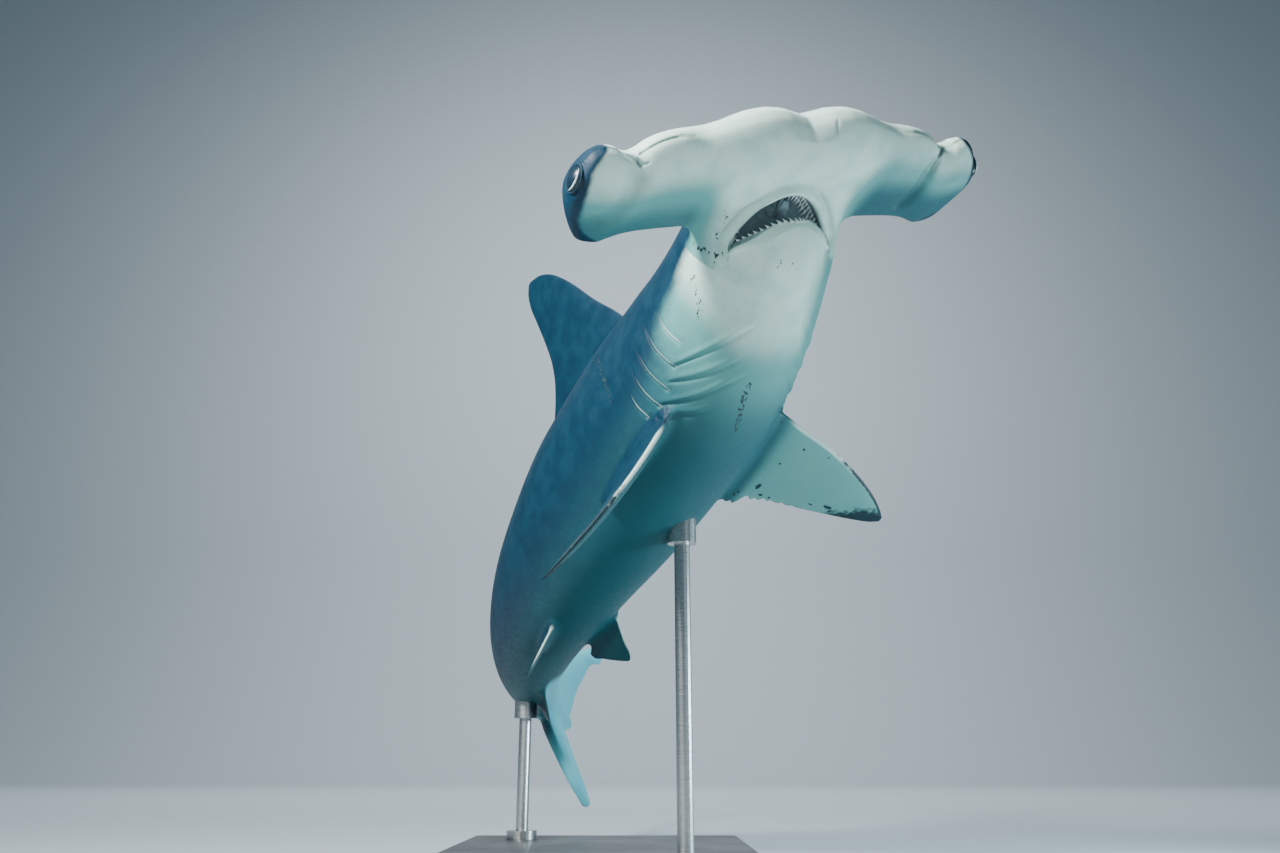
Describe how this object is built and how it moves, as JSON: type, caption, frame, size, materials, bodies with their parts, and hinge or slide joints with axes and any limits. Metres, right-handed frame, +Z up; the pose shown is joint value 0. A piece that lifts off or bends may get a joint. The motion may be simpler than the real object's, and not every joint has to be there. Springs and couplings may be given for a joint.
{
  "type": "hammerhead shark display model",
  "caption": "Life-size scalloped hammerhead shark with parted jaws, banking and turning on a flat base with slim support rods.",
  "frame": {"origin": "centre of the underside of the stand's base, where it meets the floor", "axes": "+Z up, +Y from the shark's head to its tail, +X toward the side the shark banks from, where the left end of its hammer points"},
  "size_m": [0.9129, 2.1726, 1.2003],
  "materials": {
    "skin": "satin painted skin, cream-white below and blue-grey above",
    "fin_skin": "satin painted skin, blue-grey with pale undersides",
    "eye": "glossy dark eye",
    "steel": "brushed",
    "base_paint": "satin black paint on board"
  },
  "bodies": {
    "root": {"head": "skin", "lower_jaw": "skin", "neck": "skin", "trunk_front": "skin", "trunk_rear": "skin", "tail_stem": "skin", "caudal_fin": "fin_skin", "first_dorsal_fin": "fin_skin", "second_dorsal_fin": "fin_skin", "anal_fin": "fin_skin", "pectoral_fin_right": "fin_skin", "pectoral_fin_left": "fin_skin", "pelvic_fin_right": "fin_skin", "pelvic_fin_left": "fin_skin", "eye_right": "eye", "eye_left": "eye", "stand_base": "base_paint", "stand_rod_front": "steel", "stand_rod_rear": "steel"}
  },
  "joints": []
}
